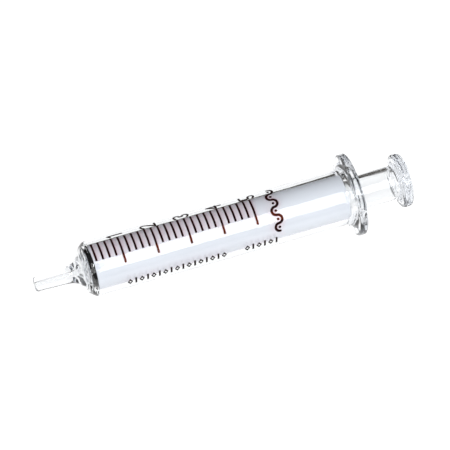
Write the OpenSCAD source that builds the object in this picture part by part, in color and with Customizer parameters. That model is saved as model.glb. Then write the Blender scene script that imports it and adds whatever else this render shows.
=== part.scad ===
// All-glass 5 mL syringe: a blown barrel with a Luer slip nozzle and a ground glass plunger.
// It lies along X. The origin is the centre of the nozzle's mouth, the thumb knob is
// towards +X, and +Z is up. Every glass piece is turned round the X axis.

/* [Barrel] */
// Diameter of the ground bore
bore_d = 11.9; // [11.6:0.1:12.4]
// Glass thickness of the barrel tube
barrel_wall = 1.4; // [1.2:0.1:1.6]
// Glass thickness of the head's cone
head_wall = 0.7; // [0.65:0.05:0.8]
// Length from the zero line to the front face of the finger flange
barrel_l = 71.25; // [66:0.05:76]
// Angle of the head's cone from the axis
head_angle = 63; // [60:1:65]
// Angle of the sloping shoulder between the tube and the cone
shoulder_angle = 42; // [40:1:45]
// Length from the zero line to the end of the head's flare into the nozzle
head_l = 5.65; // [5.6:0.05:6]

/* [Nozzle] */
// Length of the tapered nozzle
nozzle_l = 8.8; // [8:0.1:12]
// Outside diameter at the nozzle's mouth
nozzle_d = 3.95; // [3.9:0.01:4]
// Growth of the nozzle's diameter per millimetre of length
nozzle_taper = 0.06; // [0.05:0.01:0.07]
// Diameter of the channel through the nozzle
channel_d = 1; // [0.8:0.1:1.5]

/* [Finger flange] */
// Diameter of the finger flange
flange_d = 22; // [20:0.5:25]
// Thickness of the finger flange
flange_t = 2.1; // [1.9:0.1:2.6]

/* [Plunger] */
// Radial gap between the ground plunger and the bore
running_gap = 0.03; // [0.01:0.01:0.08]
// Glass thickness of the ground plunger tube
piston_wall = 1.1; // [0.9:0.1:1.3]
// Width of the black ring, whose front edge lies at the zero line
ring_w = 1.1; // [0.8:0.1:1.3]
// Length from the zero line to the end of the ground plunger tube
piston_l = 70.35; // [60:0.05:71]
// Diameter of the stem between the plunger's shoulder and the knob
stem_d = 9; // [8.5:0.1:9.5]
// Glass thickness of the stem
stem_wall = 0.9; // [0.8:0.05:1.2]
// Length from the zero line to the front face of the thumb knob
knob_at = 84.95; // [80:0.05:90]
// Diameter of the thumb knob
knob_d = 14.4; // [13.5:0.1:16]
// Thickness of the thumb knob
knob_t = 2.75; // [2.4:0.05:3.2]

/* [Fired print] */
// Width of a printed line
line_w = 0.58; // [0.5:0.02:0.6]
// Width of the ornament's line
band_w = 0.7; // [0.5:0.05:0.8]
// Thickness of the fired enamel
enamel_t = 0.05; // [0.04:0.01:0.08]
// Height of a numeral
numeral_h = 4.4; // [4.2:0.1:4.6]
// Width of a numeral
numeral_w = 2.1; // [1.8:0.1:2.3]
// Turn of the scale round the barrel, from +Z towards -Y
scale_turn = 32; // [0:1:90]

/* [Hidden] */

clear_glass = [0.86, 0.92, 0.95, 0.45];
ground_glass = [0.84, 0.87, 0.92];
red_brown = [0.40, 0.10, 0.07];
dark_brown = [0.22, 0.09, 0.07];

bore_r = bore_d / 2;
barrel_r = bore_r + barrel_wall;
channel_r = channel_d / 2;
zero_x = nozzle_l + head_l;

// A millilitre fills this length of the bore
ml = 1000 / (PI * bore_r * bore_r);
ml_lines = 5;
parts_per_ml = 5;

// The slope of the nozzle's side, and the radii that blend the head
side_angle = atan(nozzle_taper / 2);
head_flare = 4.5;
head_step = 1.1;
rim = [barrel_r - 1.35, zero_x - head_step];
rim_round = 0.9;
shoulder_round = 1.5;
tube_x = zero_x + 2;
cavity_corner = 0.3;
cavity_flare = 2.2;
mouth_round = 0.5;

// The joint between tube and flange lies where the fillet starts
flange_x = zero_x + barrel_l;
flange_fillet = 2.2;
flange_corner = 0.9;
flange_joint_x = flange_x - flange_fillet;
bore_mouth = 0.4;

piston_r = bore_r - running_gap;
front_x = zero_x;
ring_depth = 0.2;
// The nose runs beside the head's cavity at this distance
nose_gap = 0.12;
nose_corner = 0.3;
nose_l = 1.2;
nose_round = 2.5;
stem_r = stem_d / 2;
shoulder_l = 2.5;
shoulder_x = zero_x + piston_l;
stem_x = shoulder_x + shoulder_l;
knob_x = zero_x + knob_at;
knob_r = knob_d / 2;
knob_corner = 1.1;
knob_fillet = knob_r - knob_corner - stem_r;
hollow_depth = 0.6;

// Angles on the barrel, from the middle of the scale
line_top = -54.5;
minor_end = -11;
major_end = 7.5;
numeral_angle = -63;
numeral_shift = 0.4;
ornament_ml = 5.61;
ornament_first = -61.5;
side_angle_mid = 55.5;
side_mark = [1.5, 2.3];
side_hole_d = 0.54;
side_pitch = 1.6;

$fn = 96;

// Points and blends of the turned outlines, as [radius, distance along X]
function unit(a) = [cos(a), sin(a)];
function arc(c, r, a0, a1, n = 10) =
    [for (i = [0:n]) c + r * unit(a0 + (a1 - a0) * i / n)];
// Rounds the corner at k between two sides whose outward normals point along n0 and n1.
// side is 1 where the corner stands out and -1 where it goes in.
function rounded(k, n0, n1, r, side) =
    arc(k - side * r / cos((n1 - n0) / 2) * unit((n0 + n1) / 2), r,
        n0 + (side < 0 ? 180 : 0), n1 + (side < 0 ? 180 : 0));
function nozzle_r(x) = nozzle_d / 2 + nozzle_taper / 2 * x;
// Where a cone through [r, x] at the head's angle has the radius r2
function on_cone(r, x, r2) = x - (r - r2) / tan(head_angle);
function cosine_step(u) = (1 - cos(180 * u)) / 2;

module turned() {
    rotate([0, 90, 0])
        rotate_extrude()
            children();
}

module tube_profile(r0, r1, x0, x1) {
    translate([r0, x0])
        square([r1 - r0, x1 - x0]);
}

// The outside of the head and nozzle
module front_profile() {
    shoulder = [barrel_r, rim[1] + (barrel_r - rim[0]) / tan(shoulder_angle)];
    // The cone meets the sloping side of the nozzle
    foot_x = on_cone(rim[0], rim[1], nozzle_d / 2) /
        (1 - nozzle_taper / 2 / tan(head_angle));
    foot = [nozzle_r(foot_x), foot_x];
    mouth = [nozzle_d / 2, 0];
    polygon(concat(
        [[0, tube_x], [barrel_r, tube_x]],
        rounded(shoulder, 0, -shoulder_angle, shoulder_round, 1),
        rounded(rim, -shoulder_angle, -head_angle, rim_round, 1),
        rounded(foot, -head_angle, -side_angle, head_flare, -1),
        rounded(mouth, -side_angle, -90, mouth_round, 1),
        [[0, 0]]));
}

// The space inside the head and nozzle
cavity_x = on_cone(rim[0], rim[1] + head_wall / sin(head_angle), bore_r);

module front_hollow() {
    foot_x = on_cone(bore_r, cavity_x, channel_r);
    polygon(concat(
        [[0, tube_x + 1], [bore_r, tube_x + 1]],
        rounded([bore_r, cavity_x], 0, -head_angle, cavity_corner, 1),
        rounded([channel_r, foot_x], -head_angle, 0, cavity_flare, -1),
        [[channel_r, -1], [0, -1]]));
}

module barrel_tube() {
    color(clear_glass)
        turned()
            tube_profile(bore_r, barrel_r, tube_x, flange_joint_x);
}

module barrel_head() {
    color(clear_glass)
        turned()
            difference() {
                intersection() {
                    front_profile();
                    tube_profile(0, barrel_r, nozzle_l, tube_x);
                }
                front_hollow();
            }
}

module luer_nozzle() {
    color(clear_glass)
        turned()
            difference() {
                intersection() {
                    front_profile();
                    tube_profile(0, barrel_r, 0, nozzle_l);
                }
                front_hollow();
            }
}

module finger_flange() {
    rim = flange_d / 2;
    back = flange_x + flange_t;
    color(clear_glass)
        turned()
            polygon(concat(
                [[bore_r, flange_joint_x], [barrel_r, flange_joint_x]],
                rounded([barrel_r, flange_x], 0, -90, flange_fillet, -1),
                rounded([rim, flange_x], -90, 0, flange_corner, 1),
                rounded([rim, back], 0, 90, flange_corner, 1),
                rounded([bore_r, back], 90, 180, bore_mouth, 1)));
}

// One printed line across the barrel at x, from angle a0 to a1
module printed_line(x, a0, a1) {
    rotate([0, 90, 0])
        rotate([0, 0, 180 + scale_turn + a0])
            rotate_extrude(angle = a1 - a0)
                tube_profile(barrel_r, barrel_r + enamel_t, x - line_w / 2, x + line_w / 2);
}

// A flat shape printed on the barrel at x, with its middle at angle a
module printed(x, a) {
    intersection() {
        rotate([0, 90, 0])
            difference() {
                cylinder(r = barrel_r + enamel_t, h = flange_x);
                translate([0, 0, -1])
                    cylinder(r = barrel_r, h = flange_x + 2);
            }
        rotate([scale_turn + a, 0, 0])
            translate([x, 0, 0])
                linear_extrude(barrel_r + 1)
                    children();
    }
}

module minor_lines() {
    color(red_brown)
        for (m = [0:ml_lines - 1], p = [1:parts_per_ml - 1])
            printed_line(zero_x + ml * (m + p / parts_per_ml), line_top, minor_end);
}

module major_lines() {
    color(red_brown)
        for (m = [1:ml_lines])
            printed_line(zero_x + ml * m, line_top, major_end);
}

// Strokes of the numerals and ornaments
module stroke(p, q) {
    translate(p)
        rotate(atan2(q[1] - p[1], q[0] - p[0]))
            translate([0, -line_w / 2])
                square([norm(q - p), line_w]);
    for (end = [p, q])
        translate(end)
            circle(d = line_w, $fn = 32);
}

module bow(c, r, a0, a1, w = line_w) {
    steps = 6;
    reach = 2 * (r + w);
    translate(c)
        intersection() {
            difference() {
                circle(r = r + w / 2);
                circle(r = r - w / 2);
            }
            polygon(concat([[0, 0]], arc([0, 0], reach, a0, a1, steps)));
        }
    for (a = [a0, a1])
        translate(c + r * unit(a))
            circle(d = w, $fn = 32);
}

// The numeral's strokes run in a box of half width w and half height h round the origin
module numeral_shape(n) {
    w = (numeral_w - line_w) / 2;
    h = (numeral_h - line_w) / 2;
    if (n == 1) {
        stroke([0.2, -h], [0.2, h]);
        stroke([0.2, h], [-0.5, h - 0.6]);
    }
    if (n == 2) {
        bow([0, h - w], w, 170, -40);
        stroke([0, h - w] + w * unit(-40), [-w, -h]);
        stroke([-w, -h], [w, -h]);
    }
    if (n == 3) {
        bow([0, h - w], w, 150, -90);
        bow([0, -h + w], w, 90, -150);
        stroke([0, h - 2 * w], [0, -h + 2 * w]);
    }
    if (n == 4) {
        stroke([0.35, -h], [0.35, h]);
        stroke([0.35, h], [-w, -0.5]);
        stroke([-w, -0.5], [w, -0.5]);
    }
    if (n == 5) {
        stroke([w, h], [-w + 0.15, h]);
        stroke([-w + 0.15, h], [-w + 0.05, 0.25]);
        bow([0, -h + w], w, 125, -150);
        stroke([-w + 0.05, 0.25], [0, w - h] + w * unit(125));
    }
}

module numeral(n) {
    color(red_brown)
        printed(zero_x + ml * n - numeral_shift, numeral_angle)
            rotate(90)
                numeral_shape(n);
}

module numeral_1() numeral(1);
module numeral_2() numeral(2);
module numeral_3() numeral(3);
module numeral_4() numeral(4);
module numeral_5() numeral(5);

// A wave of half rings round the barrel, with a dot in each hollow
module ornament_band() {
    waves = 6;
    wave_r = 1.1;
    dot_d = 0.72;
    turn = 2 * asin(wave_r / barrel_r);
    color(red_brown)
        for (i = [0:waves - 1])
            printed(zero_x + ml * ornament_ml, ornament_first + turn * i) {
                up = i % 2 == 0 ? 0 : 180;
                bow([0, 0], wave_r, up - 90, up + 90, band_w);
                circle(d = dot_d, $fn = 32);
            }
}

// A row of small lozenges and upright bars along the barrel
module side_marks(x0, count) {
    half = side_mark / 2;
    color(dark_brown)
        for (i = [0:count - 1])
            printed(x0 + side_pitch * i, side_angle_mid)
                if (i % 2 == 0)
                    difference() {
                        polygon([[-half[0], 0], [0, -half[1]], [half[0], 0], [0, half[1]]]);
                        circle(d = side_hole_d, $fn = 32);
                    }
                else
                    square([line_w * 0.9, side_mark[1]], center = true);
}

module side_marks_long() side_marks(zero_x + 9.2, 17);
module side_marks_short() side_marks(zero_x + 41.15, 6);

module piston_tube() {
    color(ground_glass)
        turned()
            difference() {
                tube_profile(piston_r - piston_wall, piston_r, front_x, shoulder_x);
                tube_profile(piston_r - ring_depth, piston_r + 1, front_x - 1, front_x + ring_w);
            }
}

module piston_nose() {
    side = [piston_r, on_cone(bore_r, cavity_x + nose_gap / sin(head_angle), piston_r)];
    tip_x = front_x - nose_l;
    tip = [side[0] - (side[1] - tip_x) * tan(head_angle), tip_x];
    color(clear_glass)
        turned()
            polygon(concat(
                [[0, front_x], [piston_r, front_x]],
                rounded(side, 0, -head_angle, nose_corner, 1),
                rounded(tip, -head_angle, -90, nose_round, 1),
                [[0, tip_x]]));
}

module fiducial_ring() {
    color("black")
        turned()
            tube_profile(piston_r - ring_depth, piston_r, front_x, front_x + ring_w);
}

// Outline of the glass drawn in from the ground tube to the stem
function drawn_in(r0, r1, steps = 12) =
    [for (i = [0:steps])
        [r0 + (r1 - r0) * cosine_step(i / steps), shoulder_x + shoulder_l * i / steps]];

module piston_shoulder() {
    inner = drawn_in(piston_r - piston_wall, stem_r - stem_wall);
    outer = drawn_in(piston_r, stem_r);
    color(clear_glass)
        turned()
            polygon(concat(inner, [for (i = [len(outer) - 1:-1:0]) outer[i]]));
}

module plunger_stem() {
    color(clear_glass)
        turned()
            tube_profile(stem_r - stem_wall, stem_r, stem_x, knob_x - knob_fillet);
}

module thumb_knob() {
    hollow_r = stem_r - stem_wall;
    hollow_corner = 1.2;
    back = knob_x + knob_t;
    start = knob_x - knob_fillet;
    color(clear_glass)
        turned()
            difference() {
                polygon(concat(
                    [[0, start], [stem_r, start]],
                    rounded([stem_r, knob_x], 0, -90, knob_fillet, -1),
                    rounded([knob_r, knob_x], -90, 0, knob_corner, 1),
                    rounded([knob_r, back], 0, 90, knob_corner, 1),
                    [[0, back]]));
                polygon(concat(
                    [[0, start - 1], [hollow_r, start - 1]],
                    rounded([hollow_r, knob_x + hollow_depth], 0, 90, hollow_corner, 1),
                    [[0, knob_x + hollow_depth]]));
            }
}

barrel_tube();
barrel_head();
luer_nozzle();
finger_flange();
minor_lines();
major_lines();
numeral_1();
numeral_2();
numeral_3();
numeral_4();
numeral_5();
ornament_band();
side_marks_long();
side_marks_short();
piston_tube();
piston_nose();
fiducial_ring();
piston_shoulder();
plunger_stem();
thumb_knob();
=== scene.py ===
"""All-glass 5 mL syringe: lamp-worked glass, a ground plunger and fired enamel print."""

import math

import bmesh
import bpy
import numpy as np
from mathutils import Matrix, Vector


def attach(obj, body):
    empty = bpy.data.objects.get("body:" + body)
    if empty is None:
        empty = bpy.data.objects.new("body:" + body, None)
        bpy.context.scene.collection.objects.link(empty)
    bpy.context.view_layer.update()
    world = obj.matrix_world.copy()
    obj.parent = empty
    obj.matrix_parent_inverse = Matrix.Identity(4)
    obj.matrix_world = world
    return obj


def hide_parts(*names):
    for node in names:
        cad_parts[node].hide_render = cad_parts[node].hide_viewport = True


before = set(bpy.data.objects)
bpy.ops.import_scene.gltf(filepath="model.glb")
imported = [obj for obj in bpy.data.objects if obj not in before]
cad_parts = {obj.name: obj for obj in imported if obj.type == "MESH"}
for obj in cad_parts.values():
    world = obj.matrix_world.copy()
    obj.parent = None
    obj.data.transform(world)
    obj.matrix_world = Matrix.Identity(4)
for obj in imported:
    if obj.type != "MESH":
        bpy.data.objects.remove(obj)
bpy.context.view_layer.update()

MM = 0.001
TAU = 2 * math.pi

# Sizes in millimetres, as in the CAD part
BORE_R = 5.95
BARREL_R = 7.35
HEAD_WALL = 0.7
HEAD_ANGLE = 63
SHOULDER_ANGLE = 42
ZERO_X = 14.45
RIM = [6.0, 13.35]
NOZZLE_R = 1.975
NOZZLE_SLOPE = 0.03
CHANNEL_R = 0.5
FLANGE_X = 85.7
FLANGE_R = 11.0
FLANGE_T = 2.1
PISTON_R = 5.92
PISTON_WALL = 1.1
RING_W = 1.1
RING_DEPTH = 0.2
SHOULDER_X = 84.8
SHOULDER_L = 2.5
STEM_R = 4.5
STEM_WALL = 0.9
KNOB_X = 99.4
KNOB_R = 7.2
KNOB_T = 2.75
LINE_W = 0.58
ENAMEL_T = 0.05
BAND_W = 0.7
NUMERAL_H = 4.4
NUMERAL_W = 2.1
ML = 1000 / (math.pi * BORE_R**2)

# Radii of the rounded corners and blends
MOUTH_ROUND = 0.75
HEAD_FLARE = 4.5
RIM_ROUND = 0.9
SHOULDER_ROUND = 1.5
FLANGE_FILLET = 2.2
FLANGE_FRONT_ROUND = 0.7
FLANGE_BACK_ROUND = 0.45
BORE_MOUTH = 0.4
CAVITY_CORNER = 0.3
CAVITY_FLARE = 2.2
CHANNEL_MOUTH = 0.25
NOSE_CORNER = 0.3
NOSE_ROUND = 2.5
KNOB_FRONT_ROUND = 0.9
KNOB_BACK_ROUND = 1.1
KNOB_RIM_W = 1.1
KNOB_FILLET = KNOB_R - KNOB_RIM_W - STEM_R
HOLLOW_ROUND = 1.2

# Places along the plunger
NOSE_SIDE_X = 14.23
NOSE_TIP_X = 13.25
HOLLOW_X = KNOB_X + 0.6
PARTING_X = KNOB_X + 1.2
PARTING_R = KNOB_R - 0.12

# Places of the print: turns in degrees from the middle of the scale, which is itself
# turned from +Z towards -Y, and lengths along the barrel
SCALE_TURN = 32
LINE_TOP = -54.5
MINOR_END = -11
MAJOR_END = 7.5
NUMERAL_ANGLE = -63
NUMERAL_SHIFT = 0.4
BAND_X = ZERO_X + 5.61 * ML
BAND_FIRST = -61.5
WAVES = 6
WAVE_R = 1.1
DOT_R = 0.36
MARK_ANGLE = 55.5
MARK_HALF_X = 0.75
MARK_HALF_Y = 1.15
MARK_HOLE = 0.27
MARK_BAR_HALF = LINE_W * 0.45
MARK_PITCH = 1.6
LONG_ROW_X = ZERO_X + 9.2
SHORT_ROW_X = ZERO_X + 41.15

TAN_HEAD = math.tan(math.radians(HEAD_ANGLE))

# Glass pieces that touch in the CAD stand this far apart here, so no two faces coincide
SEAM = 0.012
SEGMENTS = 224

# The printed film starts this far off the glass, and its edge rises over this width
FILM_GAP = 0.001
FILM_EDGE = 0.1

# Waves that add up to the unevenness round the glass: strength, how many go round, how
# far the phase turns them, and where they start
LOBES = [
    (0.4, 2, 1, 0),
    (0.25, 3, 1.7, 1),
    (0.2, 5, 0.6, 2),
    (0.2, 9, -1.1, 0),
    (0.15, 16, 2.3, 4),
    (0.06, 27, -1.9, 1),
]


# ---------------------------------------------------------------- turned outlines
# An outline is a list of rows [radius, x, how far the radius wanders, how far x wanders]

def unit(degrees):
    a = math.radians(degrees)
    return np.array([math.cos(a), math.sin(a)])


def arc(centre, r, a0, a1, n):
    return [np.array(centre) + r * unit(a0 + (a1 - a0) * i / n) for i in range(n + 1)]


def rounded(corner, n0, n1, r, side, n=12):
    """Rounds a corner between sides whose outward normals point along n0 and n1."""
    reach = side * r / math.cos(math.radians((n1 - n0) / 2))
    centre = np.array(corner) - reach * unit((n0 + n1) / 2)
    flip = 180 if side < 0 else 0
    return arc(centre, r, n0 + flip, n1 + flip, n)


def straight(p, q, n):
    """n points between p and q, without either end."""
    p, q = np.array(p, float), np.array(q, float)
    return [p + (q - p) * i / (n + 1) for i in range(1, n + 1)]


def wander(points, radial=0.0, axial=0.0):
    return [[p[0], p[1], radial, axial] for p in points]


def worked(points, size):
    """Wander that changes along the outline, as on glass pressed and drawn in a flame."""
    rows = []
    for i, p in enumerate(points):
        rows.append([p[0], p[1], size * math.sin(1.9 * i), size * math.cos(1.3 * i + 1)])
    return rows


def drawn_in(r0, r1, x0):
    """The soft step between the ground tube and the slimmer stem."""
    steps = 18
    points = []
    for i in range(steps + 1):
        u = i / steps
        step = (1 - math.cos(math.pi * u)) / 2
        points.append([r0 + (r1 - r0) * step, x0 + SHOULDER_L * u])
    return points


def barrel_front():
    """Outside of the nozzle and head, from the mouth to the tube."""
    side = math.degrees(math.atan(NOZZLE_SLOPE))
    tan_shoulder = math.tan(math.radians(SHOULDER_ANGLE))
    shoulder = [BARREL_R, RIM[1] + (BARREL_R - RIM[0]) / tan_shoulder]
    foot_x = (RIM[1] - (RIM[0] - NOZZLE_R) / TAN_HEAD) / (1 - NOZZLE_SLOPE / TAN_HEAD)
    foot = np.array([NOZZLE_R + NOZZLE_SLOPE * foot_x, foot_x])
    cone = unit(-HEAD_ANGLE - 90)
    reach = 2.8
    rows = wander(rounded([NOZZLE_R, 0], -90, -side, MOUTH_ROUND, 1), 0.03, 0.05)
    nozzle_end = [foot[0] - 0.1, foot[1] - reach]
    rows += wander(straight([NOZZLE_R + 0.02, 0.9], nozzle_end, 14), 0.02)
    rows += worked(rounded(foot, -side, -HEAD_ANGLE, HEAD_FLARE, -1, 14), 0.03)
    rows += worked(straight(foot - reach * cone, RIM + 0.5 * cone, 5), 0.07)
    rows += worked(rounded(RIM, -HEAD_ANGLE, -SHOULDER_ANGLE, RIM_ROUND, 1, 6), 0.08)
    rows += worked(rounded(shoulder, -SHOULDER_ANGLE, 0, SHOULDER_ROUND, 1, 8), 0.09)
    return rows


def barrel_back():
    """Outside of the tube and flange. The tube is true, so that the print lies close on it."""
    back = FLANGE_X + FLANGE_T
    rows = wander([[BARREL_R, ZERO_X + 1.15]])
    rows += wander(straight([BARREL_R, ZERO_X + 2.2], [BARREL_R, FLANGE_X - FLANGE_FILLET], 40))
    rows += worked(rounded([BARREL_R, FLANGE_X], 0, -90, FLANGE_FILLET, -1, 10), 0.09)
    rows += worked(rounded([FLANGE_R, FLANGE_X], -90, 0, FLANGE_FRONT_ROUND, 1, 6), 0.13)
    rows += worked(rounded([FLANGE_R, back], 0, 90, FLANGE_BACK_ROUND, 1, 5), 0.10)
    rim, mouth = [FLANGE_R - FLANGE_BACK_ROUND, back], [BORE_R + BORE_MOUTH, back]
    rows += wander(straight(rim, mouth, 6), 0, 0.08)
    rows += wander(rounded([BORE_R, back], 90, 180, BORE_MOUTH, 1), 0, 0.05)
    return rows


def barrel_inside():
    """The bore, the head's cavity and the nozzle's channel, from the flange to the mouth."""
    gap = HEAD_WALL / math.sin(math.radians(HEAD_ANGLE))
    end_x = RIM[1] + gap - (RIM[0] - BORE_R) / TAN_HEAD
    neck_x = end_x - (BORE_R - CHANNEL_R) / TAN_HEAD
    bore_start = [BORE_R, FLANGE_X + FLANGE_T - BORE_MOUTH]
    first, last = 0.5, 1.3
    cone_start = [BORE_R - first, end_x - first / TAN_HEAD]
    cone_end = [CHANNEL_R + last, neck_x + last / TAN_HEAD]
    rows = wander(straight(bore_start, [BORE_R, end_x + 1], 40))
    rows += wander(rounded([BORE_R, end_x], 0, -HEAD_ANGLE, CAVITY_CORNER, 1), 0, 0.04)
    rows += worked(straight(cone_start, cone_end, 5), 0.05)
    rows += worked(rounded([CHANNEL_R, neck_x], -HEAD_ANGLE, 0, CAVITY_FLARE, -1, 10), 0.05)
    rows += wander(straight([CHANNEL_R, neck_x - 1.4], [CHANNEL_R, CHANNEL_MOUTH], 16), 0.03)
    rows += wander(rounded([CHANNEL_R, 0], 180, 270, CHANNEL_MOUTH, 1), 0.0, 0.02)
    return rows


def tube_outline():
    """The ground tube, with the groove for the ring at its front."""
    x0 = ZERO_X + SEAM
    x1 = SHOULDER_X - SEAM
    groove = PISTON_R - RING_DEPTH
    groove_x = ZERO_X + RING_W + SEAM
    inner = PISTON_R - PISTON_WALL
    rows = wander([[inner, x0], [groove, x0], [groove, groove_x]])
    rows += wander(rounded([PISTON_R, groove_x], -90, 0, 0.06, 1, 3))
    rows += wander(straight([PISTON_R, ZERO_X + 1], [PISTON_R, x1], 60))
    rows += wander([[PISTON_R, x1], [inner, x1]])
    rows += wander(straight([inner, x1], [inner, x0], 60), 0.02)
    return rows


def nose_outline():
    """The glass that closes the ground tube's front, beside the head's cavity."""
    side = [PISTON_R, NOSE_SIDE_X]
    tip = [side[0] - (side[1] - NOSE_TIP_X) * TAN_HEAD, NOSE_TIP_X]
    inner = PISTON_R - PISTON_WALL
    face = straight([-0.3, NOSE_TIP_X], [tip[0] - 0.6, NOSE_TIP_X], 8)[1:]
    rows = wander([[0, NOSE_TIP_X]] + face, 0, 0.05)
    rows += wander(rounded(tip, -90, -HEAD_ANGLE, NOSE_ROUND, 1, 6), 0.04, 0.04)
    rows += wander(rounded(side, -HEAD_ANGLE, 0, NOSE_CORNER, 1, 8))
    rows += wander([[PISTON_R, ZERO_X - SEAM], [inner, ZERO_X - SEAM]])
    # Towards the tube's inside the nose is slightly hollow
    steps = 12
    for i in range(1, steps + 1):
        u = 1 - i / steps
        rows += wander([[inner * u, ZERO_X - 0.35 * (1 - u**6)]], 0, 0.05)
    return rows


def ring_outline():
    x0 = ZERO_X
    x1 = x0 + RING_W
    inner = PISTON_R - RING_DEPTH + SEAM
    outer = PISTON_R - 0.004
    rows = wander([[inner, x1], [inner, x0]])
    rows += wander(rounded([outer, x0], -90, 0, 0.1, 1, 5), 0, 0.02)
    rows += wander(rounded([outer, x1], 0, 90, 0.1, 1, 5), 0, 0.02)
    return rows


def stem_outline():
    """Shoulder, stem and knob in one skin, from the hollow's end round to the knob's back."""
    x0 = SHOULDER_X + SEAM
    stem_start = x0 + 2.6
    hollow_r = STEM_R - STEM_WALL
    inner = PISTON_R - PISTON_WALL
    back = KNOB_X + KNOB_T
    rows = []
    steps = 8
    for i in range(steps + 1):
        u = i / steps
        domed_x = HOLLOW_X + 0.25 * (1 - u * u)
        rows += wander([[(hollow_r - HOLLOW_ROUND) * u, domed_x]], 0, 0.05)
    rows += wander(rounded([hollow_r, HOLLOW_X], 90, 0, HOLLOW_ROUND, 1)[1:], 0.05, 0.06)
    rows += wander(straight([hollow_r, HOLLOW_X - 1.5], [hollow_r, stem_start], 14), 0.03)
    rows += wander(drawn_in(inner, hollow_r, x0)[::-1], 0.02)
    rows += wander(drawn_in(PISTON_R, STEM_R, x0))
    rows += wander(straight([STEM_R, stem_start], [STEM_R, KNOB_X - KNOB_FILLET], 14), 0.02)
    rows += wander(rounded([STEM_R, KNOB_X], 0, -90, KNOB_FILLET, -1), 0.04, 0.06)
    rows += worked(rounded([KNOB_R, KNOB_X], -90, 0, KNOB_FRONT_ROUND, 1, 6), 0.11)
    # The mould's parting line
    rows += wander([[PARTING_R, PARTING_X]], 0.08, 0.1)
    rows += worked(rounded([KNOB_R, back], 0, 90, KNOB_BACK_ROUND, 1, 6), 0.11)
    rows += wander(straight([KNOB_R - KNOB_BACK_ROUND, back], [0, back], 8), 0, 0.05)
    rows += wander([[0, back]], 0, 0.05)
    return rows


def wobble(angle, phase):
    """A slow hand-worked unevenness round the glass, about -1 to 1."""
    total = 0.0
    for strength, count, turn, start in LOBES:
        total += strength * math.sin(count * angle + turn * phase + start)
    return total


def thinned(rows):
    """The outline without neighbouring rows that share a place."""
    same = 0.004
    kept = []
    for row in rows:
        if kept and math.dist(row[:2], kept[-1][:2]) < same:
            continue
        kept.append(row)
    if math.dist(kept[0][:2], kept[-1][:2]) < same:
        kept.pop()
    return kept


def ring_points(row, phase):
    """The points of one row, turned round X. A row on the axis has a single point."""
    r, x, radial, axial = row
    if r < 1e-6:
        return [(x * MM, 0.0, 0.0)]
    points = []
    for k in range(SEGMENTS):
        a = TAU * k / SEGMENTS
        rr = r + radial * wobble(a, phase + 0.09 * x)
        xx = x + axial * wobble(a, 2.1 * phase + 4 + 0.05 * r)
        points.append((xx * MM, -rr * MM * math.sin(a), rr * MM * math.cos(a)))
    return points


def bridge(a, b):
    """Faces between two neighbouring rings of point numbers."""
    faces = []
    for k in range(SEGMENTS):
        m = (k + 1) % SEGMENTS
        if len(a) == 1:
            faces.append((a[0], b[m], b[k]))
        elif len(b) == 1:
            faces.append((a[k], a[m], b[0]))
        else:
            faces.append((a[k], a[m], b[m], b[k]))
    return faces


def turned(name, rows, phase):
    """A closed mesh turned round X. An outline that starts on the axis also ends there."""
    verts, rings = [], []
    for row in thinned(rows):
        points = ring_points(row, phase)
        rings.append(range(len(verts), len(verts) + len(points)))
        verts += points
    faces = []
    last = len(rings) if len(rings[0]) > 1 else len(rings) - 1
    for i in range(last):
        faces += bridge(rings[i], rings[(i + 1) % len(rings)])
    return solid(name, verts, faces, 35)


def solid(name, verts, faces, sharp):
    """A smooth-shaded piece whose edges over sharp degrees stay crisp."""
    mesh = bpy.data.meshes.new(name)
    mesh.from_pydata(verts, [], faces)
    bm = bmesh.new()
    bm.from_mesh(mesh)
    bmesh.ops.recalc_face_normals(bm, faces=bm.faces)
    bm.to_mesh(mesh)
    bm.free()
    mesh.shade_smooth()
    mesh.set_sharp_from_angle(angle=math.radians(sharp))
    piece = bpy.data.objects.new(name, mesh)
    bpy.context.scene.collection.objects.link(piece)
    return piece


# ---------------------------------------------------------------- fired print
# A print is drawn flat as a distance field: x along the barrel, y round it, in millimetres,
# less than zero inside. Its outline is then meshed and wrapped on the barrel.

def stroke(p, q):
    """A line with round ends."""
    p, q = np.array(p, float), np.array(q, float)
    d = q - p

    def field(x, y):
        t = ((x - p[0]) * d[0] + (y - p[1]) * d[1]) / max(d @ d, 1e-9)
        t = np.clip(t, 0, 1)
        return np.hypot(x - p[0] - t * d[0], y - p[1] - t * d[1]) - LINE_W / 2
    return field


def bow(c, r, a0, a1, w=LINE_W):
    """Part of a ring with round ends."""
    low, high = min(a0, a1), max(a0, a1)
    ends = [np.array(c) + r * unit(a) for a in (a0, a1)]

    def field(x, y):
        a = np.degrees(np.arctan2(y - c[1], x - c[0]))
        turn = (a - low) % 360
        body = np.abs(np.hypot(x - c[0], y - c[1]) - r) - w / 2
        caps = np.minimum(*[np.hypot(x - e[0], y - e[1]) - w / 2 for e in ends])
        return np.where(turn <= high - low, body, caps)
    return field


def dot(c, r):
    return lambda x, y: np.hypot(x - c[0], y - c[1]) - r


def bar(half_x, half_y):
    corner = 0.08

    def field(x, y):
        dx = np.abs(x) - half_x + corner
        dy = np.abs(y) - half_y + corner
        outside = np.hypot(np.maximum(dx, 0), np.maximum(dy, 0))
        return outside + np.minimum(np.maximum(dx, dy), 0) - corner
    return field


def lozenge(half_x, half_y, hole):
    long_side = math.hypot(half_x, half_y)

    def field(x, y):
        outer = (np.abs(x) * half_y + np.abs(y) * half_x - half_x * half_y) / long_side
        return np.maximum(outer, hole - np.hypot(x, y))
    return field


def joined(*fields):
    return lambda x, y: np.minimum.reduce([f(x, y) for f in fields])


def turned_left(field):
    """The same drawing turned a quarter turn, its top towards the nozzle."""
    return lambda x, y: field(y, -x)


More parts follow.
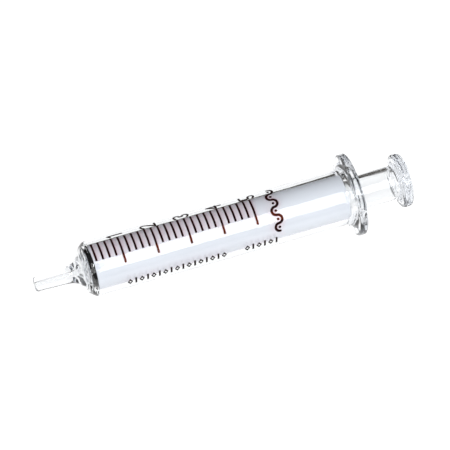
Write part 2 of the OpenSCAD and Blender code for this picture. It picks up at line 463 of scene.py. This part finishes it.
def numeral(n):
    """A numeral from 1 to 5, drawn upright about its middle."""
    w = (NUMERAL_W - LINE_W) / 2
    h = (NUMERAL_H - LINE_W) / 2
    if n == 1:
        return joined(stroke([0.2, -h], [0.2, h]), stroke([0.2, h], [-0.5, h - 0.6]))
    if n == 2:
        neck = np.array([0, h - w]) + w * unit(-40)
        top = bow([0, h - w], w, 170, -40)
        return joined(top, stroke(neck, [-w, -h]), stroke([-w, -h], [w, -h]))
    if n == 3:
        upper = bow([0, h - w], w, 150, -90)
        lower = bow([0, -h + w], w, 90, -150)
        return joined(upper, lower, stroke([0, h - 2 * w], [0, -h + 2 * w]))
    if n == 4:
        slope = stroke([0.35, h], [-w, -0.5])
        return joined(stroke([0.35, -h], [0.35, h]), slope, stroke([-w, -0.5], [w, -0.5]))
    belly = bow([0, -h + w], w, 125, -150)
    start = np.array([0, w - h]) + w * unit(125)
    neck = stroke([-w + 0.15, h], [-w + 0.05, 0.25])
    return joined(stroke([w, h], [-w + 0.15, h]), neck, belly, stroke([-w + 0.05, 0.25], start))


def samples(half, cell):
    """A grid's places from a little beyond -half to a little beyond half."""
    n = int(math.ceil(2 * (half + 0.1) / cell))
    return (np.arange(n + 1) - n / 2) * cell


def fired_edge(d, x, y, phase):
    """A distance field whose edge isn't quite even, and which is nowhere exactly zero."""
    d = d + 0.012 * np.sin(5.3 * x + 2.1 * y) * np.sin(4.1 * y - 1.3 * x + phase)
    d = d + 0.008 * np.sin(13 * x + phase) * np.sin(11 * y)
    return np.where(np.abs(d) < 1e-5, 1e-5, d)


class Film:
    """One printed mark: a thin domed film on the barrel, closed at its edges."""

    def __init__(self, field, x0, angle, half_x, half_y, phase, cell):
        self.x0 = x0
        self.turn = math.radians(SCALE_TURN + angle)
        self.xs = samples(half_x, cell)
        self.ys = samples(half_y, cell)
        gx, gy = np.meshgrid(self.xs, self.ys, indexing="ij")
        self.d = fired_edge(field(gx, gy), gx + x0, gy + 0.35 * phase, phase)
        self.points = []
        self.numbers = {}

    def point(self, key, x, y, lift):
        """The number of the point called key, which lies lift above the glass."""
        if key not in self.numbers:
            r = BARREL_R + FILM_GAP + lift
            a = self.turn - y / BARREL_R
            self.numbers[key] = len(self.points)
            self.points.append(((self.x0 + x) * MM, -r * MM * math.sin(a), r * MM * math.cos(a)))
        return self.numbers[key]

    def node(self, i, j, upper):
        u = min(max(-self.d[i, j] / FILM_EDGE, 0.0), 1.0)
        lift = (ENAMEL_T - FILM_GAP) * math.sqrt(u * (2 - u)) if upper else 0.0
        return self.point((i, j, upper), self.xs[i], self.ys[j], lift)

    def crossing(self, p, q):
        """Where the outline crosses the grid's edge between two of its nodes."""
        p, q = min(p, q), max(p, q)
        t = self.d[p] / (self.d[p] - self.d[q])
        x = self.xs[p[0]] + (self.xs[q[0]] - self.xs[p[0]]) * t
        y = self.ys[p[1]] + (self.ys[q[1]] - self.ys[p[1]]) * t
        return self.point((p, q), x, y, 0.0)

    def face(self, corners, upper):
        """The part of one grid cell that lies inside the outline."""
        loop = []
        for p, q in zip(corners, corners[1:] + corners[:1]):
            if self.d[p] < 0:
                loop.append(self.node(*p, upper))
            if (self.d[p] < 0) != (self.d[q] < 0):
                loop.append(self.crossing(p, q))
        return tuple(loop) if upper else tuple(loop[::-1])


def patch(field, x0, angle, half_x, half_y, phase, cell=0.06):
    """The points and faces of one printed mark."""
    film = Film(field, x0, angle, half_x, half_y, phase, cell)
    inside = film.d < 0
    some = inside[:-1, :-1] | inside[1:, :-1] | inside[:-1, 1:] | inside[1:, 1:]
    faces = []
    for i, j in zip(*np.nonzero(some)):
        corners = [(i, j), (i + 1, j), (i + 1, j + 1), (i, j + 1)]
        faces += [film.face(corners, upper) for upper in (True, False)]
    return film.points, faces


def printed(name, patches):
    """Several marks as one piece."""
    verts, faces = [], []
    for points, made in patches:
        base = len(verts)
        verts += points
        faces += [tuple(base + v for v in f) for f in made]
    return solid(name, verts, faces, 50)


def line_patches(places, end):
    """Scale lines at the given places, from LINE_TOP round to end."""
    half = BARREL_R * math.radians(end - LINE_TOP) / 2
    middle = (end + LINE_TOP) / 2
    field = bar(LINE_W / 2, half)
    return [patch(field, x, middle, LINE_W / 2, half, x) for x in places]


def mark_patches(x0, count):
    """A row of lozenges and upright bars."""
    made = []
    for i in range(count):
        if i % 2 == 0:
            field = lozenge(MARK_HALF_X, MARK_HALF_Y, MARK_HOLE)
        else:
            field = bar(MARK_BAR_HALF, MARK_HALF_Y)
        x = x0 + MARK_PITCH * i
        made.append(patch(field, x, MARK_ANGLE, MARK_HALF_X, MARK_HALF_Y, i, 0.05))
    return made


def band_patches():
    """A wave of half rings round the barrel, with a dot in each hollow."""
    turn = 2 * math.degrees(math.asin(WAVE_R / BARREL_R))
    half = 1.5
    made = []
    for i in range(WAVES):
        up = 0 if i % 2 == 0 else 180
        field = joined(bow([0, 0], WAVE_R, up - 90, up + 90, BAND_W), dot([0, 0], DOT_R))
        made.append(patch(field, BAND_X, BAND_FIRST + turn * i, half, half, i))
    return made


# ---------------------------------------------------------------- materials

def new_material(name):
    mat = bpy.data.materials.new(name)
    mat.use_nodes = True
    nodes = mat.node_tree.nodes
    nodes.clear()
    return mat, nodes, mat.node_tree.links, nodes.new("ShaderNodeOutputMaterial")


def principled(nodes, **values):
    """A Principled shader. The values are named after its sockets."""
    shader = nodes.new("ShaderNodeBsdfPrincipled")
    for key, value in values.items():
        socket = shader.inputs[key.replace("_", " ")]
        socket.default_value = (*value, 1) if isinstance(value, tuple) else value
    return shader


def noise(nodes, links, scale, detail=3.0, stretch=(1, 1, 1)):
    """Noise over the object's own coordinates, in metres."""
    place = nodes.new("ShaderNodeTexCoord")
    mapping = nodes.new("ShaderNodeMapping")
    mapping.inputs["Scale"].default_value = stretch
    links.new(place.outputs["Object"], mapping.inputs["Vector"])
    texture = nodes.new("ShaderNodeTexNoise")
    texture.inputs["Scale"].default_value = scale
    texture.inputs["Detail"].default_value = detail
    links.new(mapping.outputs["Vector"], texture.inputs["Vector"])
    return texture.outputs["Fac"]


def bumped(nodes, links, height, shader, distance):
    bump = nodes.new("ShaderNodeBump")
    bump.inputs["Strength"].default_value = 1.0
    bump.inputs["Distance"].default_value = distance
    links.new(height, bump.inputs["Height"])
    links.new(bump.outputs["Normal"], shader.inputs["Normal"])


def ramp(nodes, links, source, stops):
    node = nodes.new("ShaderNodeValToRGB")
    while len(node.color_ramp.elements) < len(stops):
        node.color_ramp.elements.new(0.5)
    for element, (place, colour) in zip(node.color_ramp.elements, stops):
        element.position = place
        element.color = (*colour, 1)
    links.new(source, node.inputs["Fac"])
    return node.outputs["Color"]


def lamps_through(nodes, links, surface, tint):
    """Lets lamps and bounced light pass, tinted, to what lies behind."""
    clear = nodes.new("ShaderNodeBsdfTransparent")
    clear.inputs["Color"].default_value = (*tint, 1)
    path = nodes.new("ShaderNodeLightPath")
    either = nodes.new("ShaderNodeMath")
    either.operation = "MAXIMUM"
    links.new(path.outputs["Is Shadow Ray"], either.inputs[0])
    links.new(path.outputs["Is Diffuse Ray"], either.inputs[1])
    mix = nodes.new("ShaderNodeMixShader")
    links.new(either.outputs[0], mix.inputs["Fac"])
    links.new(surface, mix.inputs[1])
    links.new(clear.outputs["BSDF"], mix.inputs[2])
    return mix.outputs["Shader"]


def clear_glass():
    mat, nodes, links, out = new_material("clear_glass")
    shader = principled(nodes, Base_Color=(0.985, 0.992, 0.995), Roughness=0.0, IOR=1.473,
                        Transmission_Weight=1.0)
    # Faint drawing waves of a hand-worked tube, long along the axis
    waves = noise(nodes, links, scale=260, detail=2.0, stretch=(0.35, 1, 1))
    bumped(nodes, links, waves, shader, distance=0.00003)
    lit = lamps_through(nodes, links, shader.outputs["BSDF"], (0.97, 0.98, 0.985))
    links.new(lit, out.inputs["Surface"])
    depth = nodes.new("ShaderNodeVolumeAbsorption")
    depth.inputs["Color"].default_value = (0.50, 0.54, 0.62, 1)
    depth.inputs["Density"].default_value = 36.0
    links.new(depth.outputs["Volume"], out.inputs["Volume"])
    return mat


def ground_glass():
    mat, nodes, links, out = new_material("ground_glass")
    shader = principled(nodes, Roughness=0.55, IOR=1.473, Transmission_Weight=0.2)
    cloud = noise(nodes, links, scale=90, stretch=(0.5, 1, 1))
    stops = [(0.3, (0.655, 0.668, 0.705)), (0.7, (0.695, 0.708, 0.745))]
    colour = ramp(nodes, links, cloud, stops)
    links.new(colour, shader.inputs["Base Color"])
    grain = noise(nodes, links, scale=9000, detail=2.0)
    bumped(nodes, links, grain, shader, distance=0.00001)
    links.new(shader.outputs["BSDF"], out.inputs["Surface"])
    return mat


def painted_highlight_band(nodes, links, see_through):
    """How far the film lets one see through it: most in a band round the scale's middle, where
    the bright highlight strip lies behind it, so the lines show amber there. This is a painted
    highlight.
    """
    place = nodes.new("ShaderNodeTexCoord")
    facing = nodes.new("ShaderNodeVectorMath")
    facing.operation = "DOT_PRODUCT"
    middle = math.radians(SCALE_TURN)
    facing.inputs[1].default_value = (0, -math.sin(middle), math.cos(middle))
    links.new(place.outputs["Object"], facing.inputs[0])
    fade = nodes.new("ShaderNodeMapRange")
    fade.interpolation_type = "SMOOTHSTEP"
    # The band's edges, in turns from the scale's middle: where the painted highlight on the
    # print fades in
    outer, inner = math.radians(14), math.radians(6)
    extra = 0.35
    fade.inputs["From Min"].default_value = BARREL_R * MM * math.cos(outer)
    fade.inputs["From Max"].default_value = BARREL_R * MM * math.cos(inner)
    fade.inputs["To Min"].default_value = see_through
    fade.inputs["To Max"].default_value = see_through + extra
    links.new(facing.outputs["Value"], fade.inputs["Value"])
    return fade.outputs["Result"]


def fired_enamel(name, dark, light, tint, see_through):
    mat, nodes, links, out = new_material(name)
    shader = principled(nodes, Roughness=0.45, IOR=1.4, Specular_IOR_Level=0.12)
    grain = noise(nodes, links, scale=1400)
    colour = ramp(nodes, links, grain, [(0.35, dark), (0.7, light)])
    links.new(colour, shader.inputs["Base Color"])
    bumped(nodes, links, grain, shader, distance=0.00001)
    film = nodes.new("ShaderNodeBsdfTransparent")
    film.inputs["Color"].default_value = (*tint, 1)
    mix = nodes.new("ShaderNodeMixShader")
    # More see-through round the scale's middle: painted highlight, the lines turning amber where
    # the highlight strip lies
    links.new(painted_highlight_band(nodes, links, see_through), mix.inputs["Fac"])
    links.new(shader.outputs["BSDF"], mix.inputs[1])
    links.new(film.outputs["BSDF"], mix.inputs[2])
    lit = lamps_through(nodes, links, mix.outputs["Shader"], (0.90, 0.66, 0.69))
    links.new(lit, out.inputs["Surface"])
    return mat


def ring_enamel():
    mat, nodes, links, out = new_material("ring_enamel")
    shader = principled(nodes, Roughness=0.6, IOR=1.3, Specular_IOR_Level=0.05)
    grain = noise(nodes, links, scale=900)
    stops = [(0.35, (0.002, 0.002, 0.002)), (0.75, (0.006, 0.005, 0.005))]
    colour = ramp(nodes, links, grain, stops)
    links.new(colour, shader.inputs["Base Color"])
    bumped(nodes, links, grain, shader, distance=0.00002)
    links.new(shader.outputs["BSDF"], out.inputs["Surface"])
    return mat


def paint(piece, mat, body, slot, *nodes):
    """Gives a piece its material, its body and the CAD nodes that it stands for."""
    piece.data.materials.append(mat)
    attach(piece, body)
    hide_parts(*nodes)


# ---------------------------------------------------------------- the object

GLASS = clear_glass()
GROUND = ground_glass()
SCALE = fired_enamel("scale_enamel", (0.005, 0.001, 0.001), (0.018, 0.002, 0.002),
                     (0.98, 0.44, 0.22), 0.03)
MARKS = fired_enamel("mark_enamel", (0.006, 0.003, 0.002), (0.016, 0.006, 0.004),
                     (0.8, 0.45, 0.30), 0.0)
RING = ring_enamel()

barrel_rows = barrel_front() + barrel_back() + barrel_inside()
paint(turned("barrel_glass", barrel_rows, 0.7), GLASS, "barrel", "clear_glass",
      "barrel_tube", "barrel_head", "luer_nozzle", "finger_flange")
paint(turned("ground_tube", tube_outline(), 2.0), GROUND, "plunger", "ground_glass",
      "piston_tube")
paint(turned("plunger_nose", nose_outline(), 3.1), GLASS, "plunger", "clear_glass",
      "piston_nose")
paint(turned("zero_ring", ring_outline(), 1.1), RING, "plunger", "ring_enamel",
      "fiducial_ring")
paint(turned("stem_and_knob", stem_outline(), 5.2), GLASS, "plunger", "clear_glass",
      "piston_shoulder", "plunger_stem", "thumb_knob")

minor_places = [ZERO_X + ML * (m + p / 5) for m in range(5) for p in range(1, 5)]
major_places = [ZERO_X + ML * m for m in range(1, 6)]
paint(printed("scale_fifths", line_patches(minor_places, MINOR_END)), SCALE, "barrel",
      "scale_enamel", "minor_lines")
paint(printed("scale_millilitres", line_patches(major_places, MAJOR_END)), SCALE, "barrel",
      "scale_enamel", "major_lines")
for n in range(1, 6):
    drawing = turned_left(numeral(n))
    x = ZERO_X + ML * n - NUMERAL_SHIFT
    mark = patch(drawing, x, NUMERAL_ANGLE, NUMERAL_H / 2, NUMERAL_W / 2, n)
    paint(printed(f"digit_{n}", [mark]), SCALE, "barrel", "scale_enamel", f"numeral_{n}")
paint(printed("wave_band", band_patches()), SCALE, "barrel", "scale_enamel", "ornament_band")
paint(printed("marks_front", mark_patches(LONG_ROW_X, 17)), MARKS, "barrel", "mark_enamel",
      "side_marks_long")
paint(printed("marks_rear", mark_patches(SHORT_ROW_X, 6)), MARKS, "barrel", "mark_enamel",
      "side_marks_short")


# ---------------------------------------------------------------- floor, lights and camera

# The syringe lies on its barrel's front edge and the flange's rim
REST_FRONT = Vector((ZERO_X - 0.6, 0, -BARREL_R)) * MM
REST_BACK = Vector((FLANGE_X + 0.9, 0, -FLANGE_R - 0.1)) * MM
FLOOR_TILT = math.atan2(REST_FRONT.z - REST_BACK.z, REST_BACK.x - REST_FRONT.x)

# The studio in metres. The low card lies on the floor behind the syringe
FLOOR_HALF = 2.5
LOW_CARD_HALF = 0.09
LOW_CARD_NEAR = 0.018
LOW_CARD_FAR = 0.5
LOW_CARD_LIFT = 0.0002
LOW_CARD_COLOUR = (0.045, 0.038, 0.03)
LOW_CARD_FADE = (0.085, 0.093)
STEM_EXTRA = 0.067
STEM_EXTRA_X = (-0.002, 0.012)

# The upright card stands beyond the nozzle
UPRIGHT_X = -0.09
UPRIGHT_HALF = 0.14
UPRIGHT_BOTTOM = -0.005
UPRIGHT_TOP = 0.075
UPRIGHT_COLOUR = (0.05, 0.045, 0.04)


def flat(name, corners, mat):
    mesh = bpy.data.meshes.new(name)
    mesh.from_pydata(corners, [], [(0, 1, 2, 3)])
    mesh.materials.append(mat)
    made = bpy.data.objects.new(name, mesh)
    bpy.context.scene.collection.objects.link(made)
    return made


def sheet(name, half_x, y0, y1, lift, mat):
    """A flat sheet parallel to the floor, lift metres above it."""
    corners = [(-half_x, y0, lift), (half_x, y0, lift), (half_x, y1, lift), (-half_x, y1, lift)]
    made = flat(name, corners, mat)
    made.matrix_world = Matrix.Translation(REST_BACK) @ Matrix.Rotation(FLOOR_TILT, 4, "Y")
    return made


def floor_material():
    mat, nodes, links, out = new_material("floor_paper")
    shader = principled(nodes, Base_Color=(0.12, 0.12, 0.12), Roughness=0.9,
                        Specular_IOR_Level=0.0, Emission_Color=(1.0, 1.0, 1.0),
                        Emission_Strength=0.95)
    links.new(shader.outputs["BSDF"], out.inputs["Surface"])
    return mat


def card_material():
    """A dark card that fades out towards the syringe."""
    mat, nodes, links, out = new_material("dark_card")
    place = nodes.new("ShaderNodeTexCoord")
    split = nodes.new("ShaderNodeSeparateXYZ")
    links.new(place.outputs["Object"], split.inputs[0])
    size = nodes.new("ShaderNodeMath")
    size.operation = "ABSOLUTE"
    links.new(split.outputs["Y"], size.inputs[0])
    # Nearer beside the slim stem than beside the barrel
    nearer = nodes.new("ShaderNodeMapRange")
    nearer.inputs["From Min"].default_value = STEM_EXTRA_X[0]
    nearer.inputs["From Max"].default_value = STEM_EXTRA_X[1]
    nearer.inputs["To Max"].default_value = STEM_EXTRA
    links.new(split.outputs["X"], nearer.inputs["Value"])
    reach = nodes.new("ShaderNodeMath")
    reach.operation = "ADD"
    links.new(size.outputs[0], reach.inputs[0])
    links.new(nearer.outputs["Result"], reach.inputs[1])
    fade = nodes.new("ShaderNodeMapRange")
    fade.interpolation_type = "SMOOTHSTEP"
    fade.inputs["From Min"].default_value = LOW_CARD_FADE[0]
    fade.inputs["From Max"].default_value = LOW_CARD_FADE[1]
    links.new(reach.outputs[0], fade.inputs["Value"])
    dark = nodes.new("ShaderNodeEmission")
    dark.inputs["Color"].default_value = (*LOW_CARD_COLOUR, 1)
    clear = nodes.new("ShaderNodeBsdfTransparent")
    mix = nodes.new("ShaderNodeMixShader")
    links.new(fade.outputs["Result"], mix.inputs["Fac"])
    links.new(clear.outputs["BSDF"], mix.inputs[1])
    links.new(dark.outputs["Emission"], mix.inputs[2])
    links.new(mix.outputs["Shader"], out.inputs["Surface"])
    return mat


def side_card(name, x, colour):
    """A low upright card across the syringe's axis at x."""
    mat, nodes, links, out = new_material(name)
    dark = nodes.new("ShaderNodeEmission")
    dark.inputs["Color"].default_value = (*colour, 1)
    links.new(dark.outputs["Emission"], out.inputs["Surface"])
    side, low, high = UPRIGHT_HALF, UPRIGHT_BOTTOM, UPRIGHT_TOP
    made = flat(name, [(x, -side, low), (x, side, low), (x, side, high), (x, -side, high)], mat)
    return made


def hide_from_camera(card):
    """The card is seen only through the glass and mirrored in it."""
    card.visible_camera = False
    card.visible_diffuse = False
    card.visible_shadow = False


sheet("floor", FLOOR_HALF, -FLOOR_HALF, FLOOR_HALF, 0.0, floor_material())
low_card = sheet("card_back", LOW_CARD_HALF, LOW_CARD_NEAR, LOW_CARD_FAR, LOW_CARD_LIFT,
                 card_material())
hide_from_camera(low_card)
hide_from_camera(side_card("card_left", UPRIGHT_X, UPRIGHT_COLOUR))


def studio_world():
    """A pale room with one dark part, low down behind the syringe."""
    world = bpy.data.worlds.new("studio")
    bpy.context.scene.world = world
    world.use_nodes = True
    nodes, links = world.node_tree.nodes, world.node_tree.links
    nodes.clear()
    out = nodes.new("ShaderNodeOutputWorld")
    place = nodes.new("ShaderNodeTexCoord")
    facing = nodes.new("ShaderNodeVectorMath")
    facing.operation = "DOT_PRODUCT"
    facing.inputs[1].default_value = (0.18, 0.978, -0.1)
    links.new(place.outputs["Generated"], facing.inputs[0])
    spread = nodes.new("ShaderNodeMapRange")
    spread.inputs["From Min"].default_value = -1.0
    links.new(facing.outputs["Value"], spread.inputs["Value"])
    sky = ramp(nodes, links, spread.outputs["Result"], [
        (0.10, (0.43, 0.44, 0.47)), (0.76, (0.34, 0.35, 0.37)), (0.87, (0.10, 0.09, 0.07)),
        (0.92, (0.04, 0.034, 0.026))])
    room = nodes.new("ShaderNodeBackground")
    links.new(sky, room.inputs["Color"])
    # The room's mirror image in the glass is dimmer, so the black print stays black
    path = nodes.new("ShaderNodeLightPath")
    dimmer = nodes.new("ShaderNodeMapRange")
    dimmer.inputs["To Min"].default_value = 1.0
    dimmer.inputs["To Max"].default_value = 0.3
    links.new(path.outputs["Is Glossy Ray"], dimmer.inputs["Value"])
    links.new(dimmer.outputs["Result"], room.inputs["Strength"])
    pale = nodes.new("ShaderNodeBackground")
    pale.inputs["Color"].default_value = (1, 1, 1, 1)
    pale.inputs["Strength"].default_value = 1.0
    mix = nodes.new("ShaderNodeMixShader")
    links.new(path.outputs["Is Camera Ray"], mix.inputs["Fac"])
    links.new(room.outputs["Background"], mix.inputs[1])
    links.new(pale.outputs["Background"], mix.inputs[2])
    links.new(mix.outputs["Shader"], out.inputs["Surface"])


LAMP_DISTANCE = 0.7
LAMP_AIM = Vector((0.05, 0, 0))


def softbox(name, direction, size_x, size_y, radiance):
    """An area lamp seen along direction from the syringe's middle, facing it."""
    lamp = bpy.data.lights.new(name, "AREA")
    lamp.shape = "RECTANGLE"
    lamp.size = size_x
    lamp.size_y = size_y
    lamp.energy = radiance * math.pi * size_x * size_y
    made = bpy.data.objects.new(name, lamp)
    bpy.context.scene.collection.objects.link(made)
    away = Vector(direction).normalized()
    along = Vector((1, 0, 0))
    across = (along - away * away.dot(along)).normalized()
    side = away.cross(across)
    turn = Matrix((across, side, away)).transposed().to_4x4()
    made.matrix_world = Matrix.Translation(LAMP_AIM + away * LAMP_DISTANCE) @ turn
    made.visible_camera = False


studio_world()
softbox("overhead", (0.27, -0.55, 0.81), 0.25, 0.60, 3.8)
softbox("key", (-0.36, -0.36, 0.80), 0.16, 0.16, 46.0)
softbox("fill", (0.66, -0.60, 0.46), 0.30, 0.30, 7.0)

CAMERA_AZIMUTH = math.radians(18.915)
CAMERA_ELEVATION = math.radians(56.15)
CAMERA_DISTANCE = 0.8514
CAMERA_LENS = 261.44
AIM = Vector((0.0499, 0, 0))
AIM_RIGHT = 0.001925
AIM_UP = 0.00196


def add_camera():
    """The camera at the photograph's angle."""
    az, el = CAMERA_AZIMUTH, CAMERA_ELEVATION
    back = Vector((-math.sin(az) * math.cos(el), -math.cos(az) * math.cos(el), math.sin(el)))
    right = Vector((math.cos(az), -math.sin(az), 0))
    up = back.cross(right)
    lens = bpy.data.cameras.new("camera")
    lens.sensor_width = 36
    lens.lens = CAMERA_LENS
    lens.clip_start = 0.01
    lens.clip_end = 20
    made = bpy.data.objects.new("camera", lens)
    bpy.context.scene.collection.objects.link(made)
    spot = AIM + right * AIM_RIGHT + up * AIM_UP + back * CAMERA_DISTANCE
    turn = Matrix((right, up, back)).transposed().to_4x4()
    made.matrix_world = Matrix.Translation(spot) @ turn
    bpy.context.scene.camera = made


add_camera()

scene = bpy.context.scene
scene.view_settings.view_transform = "Standard"
scene.cycles.max_bounces = 24
scene.cycles.transmission_bounces = 20
scene.cycles.glossy_bounces = 8
scene.cycles.diffuse_bounces = 4
scene.cycles.transparent_max_bounces = 32
scene.cycles.caustics_refractive = False
scene.cycles.caustics_reflective = False
